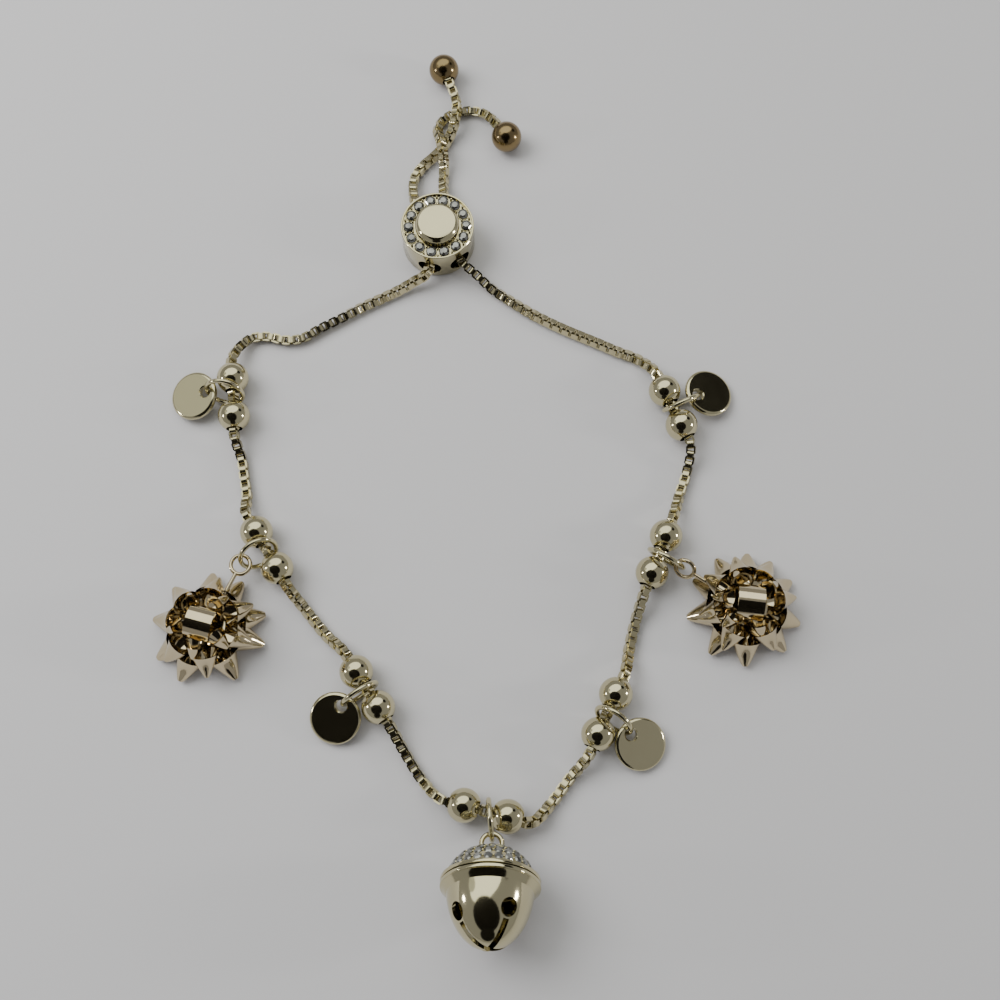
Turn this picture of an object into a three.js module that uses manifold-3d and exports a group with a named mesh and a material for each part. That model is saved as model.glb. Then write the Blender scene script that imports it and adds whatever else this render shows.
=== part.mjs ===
// An adjustable charm bracelet of box chain, lying on a plane as one closed loop. Seven charms hang from
// it, each on a jump ring that two round beads keep in place. Both ends of the chain run through a slider
// set with stones, cross twice behind it and end in a ball. Millimetres and degrees, +Z up, plane at Z = 0.
import * as THREE from "three";
import { mergeVertices } from "three/addons/utils/BufferGeometryUtils.js";
import Module from "manifold-3d";

const wasm = await Module();
wasm.setup();

// Clearances between pieces, and between a piece and the plane.
const FLOOR_GAP = 0.05;
const BORE_CLEARANCE = 0.32; // round the chain in a bead, on each side
const BALL_CLEARANCE = 0.15; // round the chain in an end ball, on each side
const RING_CLEARANCE = 0.15; // between a jump ring and the chain that it hangs on
const RING_SIDE_GAP = 0.15; // between a jump ring and the bead on each side of it
const STRAND_GAP = 0.15; // between two strands where one lies over the other
const SEAM_GAP = 0.12; // between the two halves of the bell
const SEAT_CLEARANCE = 0.1; // between a stone and its seat
const SMALLEST_STEP = 0.012; // steps in a joined surface that are smaller than this are left out

// The chain, as the round envelope of its links.
const CHAIN_THICKNESS = 1.35;
const CHAIN_SIDES = 8;

// Beads that hold the rings in place, and the balls at the chain's two ends.
const BEAD_DIAMETER = 4.0;
const BALL_DIAMETER = 4.0;
const BALL_BORE_PAST_MIDDLE = 0.3;
const LEVEL_RUN = 0.7; // how far the chain runs straight on outside a bead or a ball
const BEAD_SIDES = 12;
const BEAD_ARC_STEPS = 5;

// Jump rings.
const RING_OUTER = 5.1;
const RING_WIRE = 0.6;
const RING_SIDES = 12;
const WIRE_SIDES = 5;

// Disc charms.
const DISC_DIAMETER = 6.1;
const DISC_THICKNESS = 0.8;
const DISC_BEVEL = 0.3;
const DISC_HOLE = 1.4;
const DISC_WEB = 0.7; // metal between the hole and the rim
const DISC_SIDES = 20;
const DISC_PLAY = 0.3; // from the jump ring's wire to the middle of the hole

// Bow charms: two tiers of hollow cone petals round a hub, one ribbon loop on top, and a wire eye.
const BOW_RADIUS = 6.85;
const PETAL_WALL = 0.35;
const PETAL_SIDES = 6;
const PETAL_FLATTEN = 0.8; // height of a petal's mouth as a share of its width
const LOW_TIER = {
  tipRadius: BOW_RADIUS,
  tipHeight: 0.65,
  length: BOW_RADIUS * 0.54,
  slope: 19,
  tipWidth: 1.3,
  mouthWidth: BOW_RADIUS * 0.51,
};
const HIGH_TIER = {
  tipRadius: BOW_RADIUS * 0.88,
  tipHeight: 2.6,
  length: BOW_RADIUS * 0.5,
  slope: 22,
  tipWidth: 0.8,
  mouthWidth: BOW_RADIUS * 0.48,
};
const HUB_RADIUS = BOW_RADIUS * 0.46;
const HUB_BOTTOM = 0.45;
const HUB_TOP = 3.5;
const LOOP_DIAMETER = 4.2;
const LOOP_WIDTH = 3.1;
const LOOP_WALL = 0.4;
const LOOP_SINK = 0.9; // how deep the loop stands in the hub
const LOOP_SIDES = 12;
const EYE_OUTER = 2.8;
const EYE_WIRE = 0.5;
const EYE_STAND_OFF = 1.5; // from the petals' reach to the eye's middle
const EYE_SHIFT = 0.25; // from the jump ring's wire to the eye's middle

// Bell charm: a stone-set cap with an eye, and a slotted cup, each with its own flange.
const FLANGE_RADIUS = 5.55;
const FLANGE_THICKNESS = 0.45;
const BELL_WALL = 0.5;
const CUP_RADIUS = 4.9;
const CUP_DEPTH = 7.2;
const CAP_RADIUS = 4.85;
const CAP_HEIGHT = 4.0;
const BELL_SIDES = 22;
const BELL_ARC_STEPS = 5;
const BELL_TILT = 25; // how far the cup's pole is raised where the bell lies
const BELL_EYE_OUTER = 2.85;
const BELL_EYE_WIRE = 0.55;
const BELL_EYE_SHIFT = 0.42; // from the jump ring's wire to the eye's middle
const SLOT_WIDTH = 0.7;
const SLOT_END_HOLE = 1.9;
const SLOT_END_ANGLE = 45; // from the pole to the middle of a slot's end hole
const SLOT_TURN = 59;
const PAVE_STONE = 1.45;
const PAVE_SIDES = 6;
const PAVE_STAND = 0.2; // how far a stone stands out of the cap
const PAVE_SPACE = 0.2; // between two stones of one row
const PAVE_ROWS = [35, 54, 72]; // degrees from the cap's pole to each row

// Slider: a drum with two channels for the chain, a ring of stones and a raised button.
const SLIDER_DIAMETER = 9.3;
const SLIDER_DECK = 4.6;
const SLIDER_FOOT_BEVEL = 0.2;
const SLIDER_RIM = 0.25;
const SLIDER_RIM_RISE = 0.25;
const BUTTON_DIAMETER = 5.6;
const BUTTON_FACE = 4.0;
const BUTTON_RISE = 1.3;
const BUTTON_STEP = 0.8; // upright part of the button's edge, below its bevel
const CHANNEL_DIAMETER = 2.7;
const CHANNEL_SPACING = 3.9;
const CHANNEL_HEIGHT = 2.15;
const CHANNEL_RUN_OUT = 0.6; // how far the chain runs straight on behind the slider
const CHANNEL_TURN_IN = 0.8; // how far inside the front of a channel the chain starts to turn
const STONE_DIAMETER = 1.4;
const STONE_CROWN = 0.25;
const STONE_GIRDLE = 0.06;
const STONE_PAVILION = 0.45;
const STONE_TABLE = 0.58; // share of the stone's width
const STONE_COUNT = 14;
const STONE_CIRCLE = 7.3;
const STONE_TURN = 79;
const STONE_SIDES = 8;
const SLIDER_SIDES = 30;
const SLIDER = { x: -7.95, y: 34.85, heading: 103 };

// Where the charms sit on the chain. heading: the way the chain runs there. swing: how far the jump ring
// is turned out of square to the chain. lean: how far its top leans the way the chain runs. turn: where
// the charm points from its ring. slack: extra room between the two beads.
// Columns: name, charm, x, y, heading, swing, lean, turn, slack.
const STATIONS = [
  ["disc_1", "disc", -33.03, 12.73, -85, -14, -15, 192, 0.1],
  ["bow_1", "bow", -27.91, -6.82, -59, 0, -22, 244.5, 0.3],
  ["disc_2", "disc", -15.4, -23.51, -57, 0, 0, 240, 0],
  ["bell", "bell", -1.6, -37.24, -14, 19, 0, -91.5, 0.2],
  ["disc_3", "disc", 12.35, -26.34, 65, -10, 14, -43, 0.2],
  ["bow_2", "bow", 19.01, -7.35, 68, -8, -10, -33, 0],
  ["disc_4", "disc", 21.38, 11.28, 113, 2, -15, 19, 0],
].map(([name, charm, x, y, heading, swing, lean, turn, slack]) => {
  return { name, charm, x, y, heading, swing, lean, turn, slack };
});

// The bows' petals, as the ways they point, and how the top loop and the wire eye are turned.
const BOWS = {
  bow_1: {
    low: [16, 58, 90, 132, 169, 210, 243, 301, 345],
    high: [26, 78, 129, 172, 222, 275, 340],
    loopTurn: -15,
    eyeTilt: 0,
  },
  bow_2: {
    low: [30, 58, 83, 115, 148, 188, 232, 269, 313, 345],
    high: [10, 58, 100, 142, 194, 240, 300],
    loopTurn: -9,
    eyeTilt: 50,
  },
};

// The chain's free stretches in plan, chosen by hand: x, y and how many strands it passes over there.
const ROUTE = {
  tail_left: [[-7.51, 59.57, 0], [-5.95, 55.4, 0.8], [-5.75, 53.75, 1], [-6.1, 51.4, 0.6],
    [-6.8, 49.8, 0.15], [-7.75, 48.3, 0], [-8.9, 47.0, 0], [-10.1, 45.8, 0], [-11.1, 44.2, 0],
    [-11.4, 42.3, 0.3]],
  slider_disc_1: [[-9.6, 29.3, 0.85], [-10.9, 28.75, 0.45], [-12.7, 27.85, 0.1], [-15.0, 26.7, 0],
    [-17.6, 25.4, 0], [-20.1, 24.0, 0], [-22.6, 22.6, 0], [-25.1, 21.1, 0], [-27.2, 20.85, 0],
    [-29.6, 21.35, 0], [-31.7, 20.9, 0.1]],
  disc_1_bow_1: [[-31.75, 4.9, 0], [-31.3, 2.5, 0], [-30.85, 0.2, 0.1]],
  bow_1_disc_2: [[-23.2, -13.8, 0], [-20.6, -16.9, 0]],
  disc_2_bell: [[-10.9, -30.7, 0], [-9.0, -33.6, 0]],
  bell_disc_3: [[5.9, -36.3, 0], [8.0, -33.6, 0]],
  disc_3_bow_2: [[15.25, -18.5, 0], [16.0, -15.5, 0]],
  bow_2_disc_4: [[22.0, 0.6, 0], [23.0, 3.5, 0]],
  disc_4_slider: [[17.3, 18.2, 0.1], [14.6, 19.4, 0], [11.9, 20.65, 0], [9.2, 21.85, 0], [6.5, 23.15, 0],
    [3.9, 24.6, 0], [1.4, 26.25, 0], [-0.9, 27.9, 0], [-2.9, 29.6, 0.4]],
  tail_right: [[-7.4, 43.6, 0.1], [-7.35, 45.6, 0.4], [-7.5, 47.0, 0.85], [-7.75, 48.3, 1],
    [-8.05, 49.7, 0.6], [-8.3, 51.0, 0], [-7.6, 52.7, 0], [-5.75, 53.75, 0], [-3.6, 54.05, 0],
    [-1.9, 53.3, 0.3], [0.86, 49.35, 0]],
};

const GOLD = new THREE.MeshStandardMaterial({ color: 0xcfc3a0, roughness: 0.16, metalness: 1 });
const BALL_GOLD = new THREE.MeshStandardMaterial({ color: 0x8f7442, roughness: 0.4, metalness: 1 });
const CRYSTAL = new THREE.MeshStandardMaterial({ color: 0xc9d2d6, roughness: 0.03, metalness: 0 });

const X_AXIS = new THREE.Vector3(1, 0, 0);
const Y_AXIS = new THREE.Vector3(0, 1, 0);
const UP = new THREE.Vector3(0, 0, 1);

const radians = THREE.MathUtils.degToRad;

// The level unit vector that points along a heading.
function level(heading) {
  return new THREE.Vector3(Math.cos(radians(heading)), Math.sin(radians(heading)), 0);
}

// A point and a step along a direction, as a new vector.
function along(point, direction, distance) {
  return point.clone().addScaledVector(direction, distance);
}

// A matrix that puts X and Y along two square directions and the origin at a point.
function frameAt(point, xDirection, yDirection) {
  const z = xDirection.clone().cross(yDirection);
  return new THREE.Matrix4().makeBasis(xDirection, yDirection, z).setPosition(point);
}

// A matrix that turns Y along a direction and puts the origin at a point.
function axisAt(point, direction) {
  const turn = new THREE.Quaternion().setFromUnitVectors(Y_AXIS, direction);
  return new THREE.Matrix4().compose(point, turn, new THREE.Vector3(1, 1, 1));
}

// Revolved shape about Y from a list of [radius, height] pairs, from the axis back to the axis or closed.
function revolved(profile, sides) {
  return new THREE.LatheGeometry(profile.map(([r, y]) => new THREE.Vector2(r, y)), sides);
}

// A solid for joining and cutting, from a closed geometry placed by a matrix.
function solid(geometry, matrix = new THREE.Matrix4()) {
  const bare = new THREE.BufferGeometry();
  bare.setAttribute("position", geometry.getAttribute("position").clone());
  if (geometry.index) bare.setIndex(geometry.index.clone());
  const merged = mergeVertices(bare.applyMatrix4(matrix), 1e-4);
  const vertProperties = merged.attributes.position.array;
  const triVerts = new Uint32Array(merged.index.array);
  return new wasm.Manifold(new wasm.Mesh({ numProp: 3, vertProperties, triVerts }));
}

// The geometry of a finished solid.
function geometryOf(made) {
  const mesh = made.simplify(SMALLEST_STEP).getMesh();
  const geometry = new THREE.BufferGeometry();
  geometry.setAttribute("position", new THREE.BufferAttribute(new Float32Array(mesh.vertProperties), 3));
  geometry.setIndex(new THREE.BufferAttribute(new Uint32Array(mesh.triVerts), 1));
  geometry.computeVertexNormals();
  return geometry;
}

// Points of an arc round the middle, as [radius, height], from one angle above the level to another.
function arc(width, height, from, to, steps) {
  return Array.from({ length: steps + 1 }, (_, i) => {
    const a = radians(from + ((to - from) * i) / steps);
    return [width * Math.cos(a), height * Math.sin(a)];
  });
}

// A ring of round wire about Y.
function wireRing(outer, wire, sides = RING_SIDES) {
  const middle = (outer - wire) / 2;
  const section = arc(wire / 2, wire / 2, 0, 360, WIRE_SIDES).map(([x, y]) => [middle + x, y]);
  section[WIRE_SIDES] = section[0];
  return revolved(section, sides);
}

// A round bead about Y with the chain's bore through it.
function beadGeometry() {
  const radius = BEAD_DIAMETER / 2;
  const bore = CHAIN_THICKNESS / 2 + BORE_CLEARANCE;
  const mouth = THREE.MathUtils.radToDeg(Math.acos(bore / radius));
  const outside = arc(radius, radius, -mouth, mouth, BEAD_ARC_STEPS);
  return revolved([...outside, outside[0]], BEAD_SIDES);
}

// A round ball about Y with a blind bore from its +Y side, in which the chain ends.
function ballGeometry() {
  const radius = BALL_DIAMETER / 2;
  const bore = CHAIN_THICKNESS / 2 + BALL_CLEARANCE;
  const mouth = THREE.MathUtils.radToDeg(Math.acos(bore / radius));
  const outside = arc(radius, radius, -90, mouth, BEAD_ARC_STEPS + 1);
  outside[0] = [0, -radius];
  const bottom = -BALL_BORE_PAST_MIDDLE;
  return revolved([...outside, [bore, bottom], [0, bottom]], BEAD_SIDES);
}

// The middle of the chain where it lies on the plane, or passes over a number of strands.
function strandHeight(over) {
  return CHAIN_THICKNESS / 2 + FLOOR_GAP + over * (CHAIN_THICKNESS + STRAND_GAP);
}

// Places of one station: its two beads, and the chain's level way through them.
function stationPlaces(station) {
  const middle = new THREE.Vector3(station.x, station.y, BEAD_DIAMETER / 2 + FLOOR_GAP);
  const way = level(station.heading);
  const half = BEAD_DIAMETER / 2 + RING_WIRE / 2 + RING_SIDE_GAP + station.slack / 2;
  const mouth = half + BEAD_DIAMETER / 2;
  const through = [-mouth - LEVEL_RUN, -half, half, mouth + LEVEL_RUN];
  return {
    middle,
    way,
    beads: [along(middle, way, -half), along(middle, way, half)],
    chain: through.map((distance) => along(middle, way, distance)),
  };
}

// Places of the slider, and of the chain's way through its channel on one side, from the front to the back.
const sliderMiddle = new THREE.Vector3(SLIDER.x, SLIDER.y, 0);
const sliderWay = level(SLIDER.heading);
const sliderSide = level(SLIDER.heading - 90);

function channelPlaces(side) {
  const middle = along(sliderMiddle, sliderSide, (side * CHANNEL_SPACING) / 2);
  middle.z = CHANNEL_HEIGHT;
  const edge = SLIDER_DIAMETER / 2;
  return [CHANNEL_TURN_IN - edge, 0, edge + CHANNEL_RUN_OUT].map((d) => along(middle, sliderWay, d));
}

// A tail from its ball to the stretch behind the slider: the ball's place and heading, and the chain.
function tailPlaces(points) {
  const [end, next] = points;
  const ball = new THREE.Vector3(end[0], end[1], BALL_DIAMETER / 2 + FLOOR_GAP);
  const back = new THREE.Vector3(next[0] - end[0], next[1] - end[1], 0).normalize();
  const mouth = BALL_DIAMETER / 2;
  const straight = [0, mouth, mouth + LEVEL_RUN].map((distance) => along(ball, back, distance));
  return { ball, back, chain: [...straight, ...points.slice(1).map(strand)] };
}

function strand([x, y, over]) {
  return new THREE.Vector3(x, y, strandHeight(over));
}

const places = Object.fromEntries(STATIONS.map((station) => [station.name, stationPlaces(station)]));
const tailLeft = tailPlaces(ROUTE.tail_left);
const tailRight = tailPlaces([...ROUTE.tail_right].reverse());

// A smooth curve through points, stepped from one point to the next.
class WayCurve extends THREE.CatmullRomCurve3 {
  getUtoTmapping(u) {
    return u;
  }
}

// The chain's whole way: ball, left tail, slider, the loop with its stations, slider, right tail, ball.
function chainWay() {
  const way = [...tailLeft.chain, ...channelPlaces(-1).reverse()];
  let from = "slider";
  for (const station of STATIONS) {
    way.push(...ROUTE[from + "_" + station.name].map(strand), ...places[station.name].chain);
    from = station.name;
  }
  way.push(...ROUTE[from + "_slider"].map(strand), ...channelPlaces(1), ...tailRight.chain.reverse());
  return new WayCurve(way);
}

function chainGeometry() {
  const section = new THREE.Shape(
    Array.from({ length: CHAIN_SIDES }, (_, i) => {
      const a = (2 * Math.PI * i) / CHAIN_SIDES;
      return new THREE.Vector2(Math.cos(a), Math.sin(a)).multiplyScalar(CHAIN_THICKNESS / 2);
    }),
  );
  const way = chainWay();
  return new THREE.ExtrudeGeometry(section, { extrudePath: way, steps: way.points.length - 1 });
}

// Where a station's jump ring hangs: its middle, its axis, and the wire's place at its far side.
function ringPlaces(station) {
  const { middle } = places[station.name];
  const across = level(station.heading - 90);
  const out = level(station.heading - 90 + station.swing);
  const side = level(station.heading + station.swing);
  const lean = radians(station.lean);
  const wireRadius = (RING_OUTER - RING_WIRE) / 2;
  const height = wireRadius * Math.cos(lean) + RING_WIRE / 2 + FLOOR_GAP;
  const room = RING_OUTER / 2 - RING_WIRE - CHAIN_THICKNESS / 2 - RING_CLEARANCE;
  const rise = height - middle.z;
  const offset = Math.sqrt(Math.max(0, room * room - rise * rise));
  const inner = along(middle, across, offset - wireRadius).setZ(height);
  const centre = along(inner, out, wireRadius);
  const axis = side.clone().multiplyScalar(Math.cos(lean)).addScaledVector(UP, -Math.sin(lean));
  const rising = UP.clone().multiplyScalar(Math.cos(lean)).addScaledVector(side, Math.sin(lean));
  // The wire's place when followed down from the ring's outermost point by an angle.
  const wireAt = (drop) =>
    along(along(centre, out, wireRadius * Math.cos(drop)), rising, -wireRadius * Math.sin(drop));
  return { centre, axis, out, wireRadius, wireAt };
}

function discGeometry() {
  const radius = DISC_DIAMETER / 2;
  const half = DISC_THICKNESS / 2;
  const flat = radius - DISC_BEVEL;
  const edge = half - DISC_BEVEL;
  const profile = [[0, -half], [flat, -half], [radius, -edge], [radius, edge], [flat, half], [0, half]];
  const blank = solid(revolved(profile, DISC_SIDES));
  const drill = new THREE.CylinderGeometry(DISC_HOLE / 2, DISC_HOLE / 2, 2 * DISC_THICKNESS, 12);
  drill.translate(-discHoleOffset, 0, 0);
  return geometryOf(blank.subtract(solid(drill)));
}

const discHoleOffset = DISC_DIAMETER / 2 - DISC_WEB - DISC_HOLE / 2;

// A disc hangs with its hole on the ring and slopes down to the plane, with its hole side up.
function discPlace(station, ring) {
  const down = level(station.turn);
  const run = discHoleOffset + DISC_DIAMETER / 2 + ring.wireRadius * Math.cos(radians(station.lean));
  const slope = Math.asin((ring.centre.z - DISC_THICKNESS / 2 - FLOOR_GAP) / run);
  const hole = along(ring.wireAt(slope), ring.out, DISC_PLAY);
  const inPlane = down.clone().multiplyScalar(Math.cos(slope)).addScaledVector(UP, -Math.sin(slope));
  const normal = down.clone().multiplyScalar(Math.sin(slope)).addScaledVector(UP, Math.cos(slope));
  return frameAt(along(hole, inPlane, discHoleOffset), inPlane, normal);
}

// One hollow petal of a bow: a cone with a blunt tip outside and an open mouth that faces in and up.
function petalSolid(tier, turn) {
  const tip = tier.tipWidth / 2;
  const mouth = tier.mouthWidth / 2;
  const profile = [
    [0, 0], [tip, 0], [mouth, tier.length], [mouth - PETAL_WALL, tier.length], [0, 2 * PETAL_WALL],
  ];
  const cone = revolved(profile, PETAL_SIDES);
  cone.scale(1, 1, PETAL_FLATTEN);
  const out = level(turn);
  const slope = radians(tier.slope);
  const inward = UP.clone().multiplyScalar(Math.sin(slope)).addScaledVector(out, -Math.cos(slope));
  const place = along(new THREE.Vector3(0, 0, tier.tipHeight), out, tier.tipRadius);
  return solid(cone, frameAt(place, level(turn - 90), inward));
}

// A cast bow on the plane: the wire eye points along +X, and the turns of its petals count from there.
function bowGeometry(bow, turn, eyeHeight) {
  const hubHeight = HUB_TOP - HUB_BOTTOM;
  const hub = new THREE.CylinderGeometry(HUB_RADIUS * 0.8, HUB_RADIUS, hubHeight, 8).rotateX(Math.PI / 2);
  hub.translate(0, 0, HUB_BOTTOM + hubHeight / 2);
  let cast = solid(hub);
  for (const petal of bow.low) cast = cast.add(petalSolid(LOW_TIER, petal - turn));
  for (const petal of bow.high) cast = cast.add(petalSolid(HIGH_TIER, petal - turn));
  const outer = LOOP_DIAMETER / 2;
  const inner = outer - LOOP_WALL;
  const half = LOOP_WIDTH / 2;
  const section = [[inner, -half], [outer, -half], [outer, half], [inner, half], [inner, -half]];
  const band = revolved(section, LOOP_SIDES);
  const loopPlace = new THREE.Vector3(0, 0, HUB_TOP - LOOP_SINK + outer);
  cast = cast.add(solid(band, axisAt(loopPlace, level(bow.loopTurn - turn))));
  return geometryOf(cast.add(eyeSolid(bow, eyeHeight)));
}

// The wire eye of a bow and the stem that carries it, at the height of the jump ring's middle.
function eyeSolid(bow, eyeHeight) {
  const reach = BOW_RADIUS + EYE_STAND_OFF;
  const tilt = new THREE.Vector3(0, Math.sin(radians(bow.eyeTilt)), Math.cos(radians(bow.eyeTilt)));
  const middle = new THREE.Vector3(reach, 0, eyeHeight);
  const eye = solid(wireRing(EYE_OUTER, EYE_WIRE, RING_SIDES), axisAt(middle, tilt));
  const start = reach - (EYE_OUTER - EYE_WIRE) / 2;
  const stem = new THREE.CylinderGeometry(EYE_WIRE / 2, EYE_WIRE / 2, start - HUB_RADIUS / 2, WIRE_SIDES);
  stem.rotateZ(Math.PI / 2).translate((start + HUB_RADIUS / 2) / 2, 0, eyeHeight);
  return eye.add(solid(stem));
}

// The bow lies on the plane with its eye round the ring's wire.
function bowPlace(station, ring) {
  const away = level(station.turn);
  const eye = along(ring.wireAt(0), away, EYE_SHIFT);
  const middle = along(eye, away, BOW_RADIUS + EYE_STAND_OFF).setZ(0);
  return frameAt(middle, away.clone().negate(), UP.clone().cross(away.clone().negate()));
}

// The slotted cup, with the seam of the bell at Y = 0 and the cup's pole towards +Y.
function cupGeometry() {
  const seam = SEAM_GAP / 2;
  const top = seam + FLANGE_THICKNESS;
  const rise = THREE.MathUtils.radToDeg(Math.asin(top / CUP_DEPTH));
  const outside = arc(CUP_RADIUS, CUP_DEPTH, rise, 90, BELL_ARC_STEPS);
  const inside = arc(CUP_RADIUS - BELL_WALL, CUP_DEPTH - BELL_WALL, 90, rise / 2, BELL_ARC_STEPS);
  outside[BELL_ARC_STEPS][0] = 0;
  inside[0][0] = 0;
  const lip = inside[BELL_ARC_STEPS][0];
  const profile = [...inside, [lip, seam], [FLANGE_RADIUS, seam], [FLANGE_RADIUS, top], ...outside];
  let cup = solid(revolved(profile, BELL_SIDES));
  const endAngle = radians(SLOT_END_ANGLE);
  const slotFloor = CUP_DEPTH * Math.cos(endAngle) - BELL_WALL;
  const slotHeight = CUP_DEPTH - slotFloor + BELL_WALL;
  const slotLength = 2 * CUP_RADIUS * Math.sin(endAngle);
  for (const quarter of [0, 1, 2, 3]) {
    const turn = radians(SLOT_TURN + 90 * quarter);
    const slot = new THREE.BoxGeometry(slotLength, slotHeight, SLOT_WIDTH);
    slot.translate(0, slotFloor + slotHeight / 2, 0).rotateY(turn);
    if (quarter < 2) cup = cup.subtract(solid(slot));
    const drill = new THREE.CylinderGeometry(SLOT_END_HOLE / 2, SLOT_END_HOLE / 2, CUP_DEPTH, 12);
    drill.translate(0, CUP_DEPTH * 0.9, 0).rotateZ(-endAngle).rotateY(turn);
    cup = cup.subtract(solid(drill));
  }
  return geometryOf(cup);
}

// A cut stone about Y with its girdle at Y = 0: table and crown above, and a pavilion below.
function stoneGeometry(diameter, crown, pavilion) {
  const radius = diameter / 2;
  const table = radius * STONE_TABLE;
  const profile = [[0, -pavilion], [radius, 0], [radius, STONE_GIRDLE], [table, crown], [0, crown]];
  return revolved(profile, STONE_SIDES);
}

// A small stone that stands in the cap: a crown and its table, on a foot that reaches into the cap's wall.
function paveGeometry() {
  const foot = PAVE_STONE / 2;
  const table = foot * STONE_TABLE;
  const bottom = -BELL_WALL / 2;
  return revolved([[0, bottom], [foot, bottom], [table, PAVE_STAND], [0, PAVE_STAND]], PAVE_SIDES);
}

// The domed cap towards -Y, with its flange, its rows of stones and its eye fused on.
function capGeometry() {
  const seam = SEAM_GAP / 2;
  const top = seam + FLANGE_THICKNESS;
  const rise = THREE.MathUtils.radToDeg(Math.asin(top / CAP_HEIGHT));
  const outside = arc(CAP_RADIUS, CAP_HEIGHT, 90, rise, BELL_ARC_STEPS);
  const inside = arc(CAP_RADIUS - BELL_WALL, CAP_HEIGHT - BELL_WALL, rise / 2, 90, BELL_ARC_STEPS);
  outside[0][0] = 0;
  inside[BELL_ARC_STEPS][0] = 0;
  const lip = inside[0][0];
  const upright = [...outside, [FLANGE_RADIUS, top], [FLANGE_RADIUS, seam], [lip, seam], ...inside];
  let cap = solid(revolved(upright.map(([r, y]) => [r, -y]), BELL_SIDES));
  for (const row of PAVE_ROWS) {
    const radius = CAP_RADIUS * Math.sin(radians(row));
    const count = Math.floor((2 * Math.PI * radius) / (PAVE_STONE + PAVE_SPACE));
    for (let i = 0; i < count; i += 1) {
      const turn = level((360 * i) / count).multiplyScalar(Math.sin(radians(row)));
      const out = new THREE.Vector3(turn.x, -Math.cos(radians(row)), turn.y);
      const foot = new THREE.Vector3(out.x * CAP_RADIUS, out.y * CAP_HEIGHT, out.z * CAP_RADIUS);
      cap = cap.add(solid(paveGeometry(), axisAt(foot, out)));
    }
  }
  const eyePlace = frameAt(new THREE.Vector3(0, -bellEyeReach, 0), X_AXIS, UP);
  return geometryOf(cap.add(solid(wireRing(BELL_EYE_OUTER, BELL_EYE_WIRE), eyePlace)));
}

const bellEyeReach = CAP_HEIGHT + BELL_EYE_OUTER / 2 - BELL_EYE_WIRE;

// The bell lies on its flange and its cap, with its eye round the ring's wire and its cup's pole raised.
function bellPlace(station, ring) {
  const away = level(station.turn);
  const tilt = radians(BELL_TILT);
  const axis = away.clone().multiplyScalar(Math.cos(tilt)).addScaledVector(UP, Math.sin(tilt));
  const flange = FLANGE_THICKNESS + SEAM_GAP / 2;
  const height = FLANGE_RADIUS * Math.cos(tilt) + flange * Math.sin(tilt) + FLOOR_GAP;
  const eyeHeight = height - bellEyeReach * Math.sin(tilt);
  const drop = Math.asin((ring.centre.z - eyeHeight) / ring.wireRadius);
  const eye = along(ring.wireAt(drop), away, BELL_EYE_SHIFT).setZ(eyeHeight);
  return frameAt(along(eye, axis, bellEyeReach), level(station.turn + 90), axis);
}

// The slider's drum about Z, with its channels and its stone seats.
function sliderGeometry() {
  const radius = SLIDER_DIAMETER / 2;
  const rim = SLIDER_DECK + SLIDER_RIM_RISE;
  const button = BUTTON_DIAMETER / 2;
  const top = SLIDER_DECK + BUTTON_RISE;
  const profile = [
    [0, FLOOR_GAP], [radius - SLIDER_FOOT_BEVEL, FLOOR_GAP], [radius, FLOOR_GAP + SLIDER_FOOT_BEVEL],
    [radius, rim], [radius - SLIDER_RIM, rim], [radius - SLIDER_RIM, SLIDER_DECK], [button, SLIDER_DECK],
    [button, SLIDER_DECK + BUTTON_STEP], [BUTTON_FACE / 2, top], [0, top],
  ];
  let body = solid(revolved(profile, SLIDER_SIDES), new THREE.Matrix4().makeRotationX(Math.PI / 2));
  for (const side of [-1, 1]) {
    const bore = CHANNEL_DIAMETER / 2;
    const channel = new THREE.CylinderGeometry(bore, bore, 2 * SLIDER_DIAMETER, 16);
    const middle = along(new THREE.Vector3(0, 0, CHANNEL_HEIGHT), sliderSide, (side * CHANNEL_SPACING) / 2);
    body = body.subtract(solid(channel, axisAt(middle, sliderWay)));
  }
  const seat = stoneGeometry(STONE_DIAMETER + 2 * SEAT_CLEARANCE, 2 * SLIDER_RIM_RISE, STONE_PAVILION);
  for (let i = 0; i < STONE_COUNT; i += 1) {
    body = body.subtract(solid(seat, axisAt(stonePlace(i, 0), UP)));
  }
  return geometryOf(body);
}

// The place of one stone's girdle on the slider, seen from the slider's own middle.
function stonePlace(i, lift) {
  const turn = level(STONE_TURN + (360 * i) / STONE_COUNT);
  return turn.multiplyScalar(STONE_CIRCLE / 2).setZ(SLIDER_DECK + lift);
}

const bracelet = new THREE.Group();

function place(name, geometry, material, matrix = new THREE.Matrix4()) {
  const mesh = new THREE.Mesh(geometry, material);
  mesh.name = name;
  mesh.applyMatrix4(matrix);
  bracelet.add(mesh);
}

place("box_chain", chainGeometry(), GOLD);
place("tail_ball_left", ballGeometry(), BALL_GOLD, axisAt(tailLeft.ball, tailLeft.back));
place("tail_ball_right", ballGeometry(), BALL_GOLD, axisAt(tailRight.ball, tailRight.back));

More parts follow.
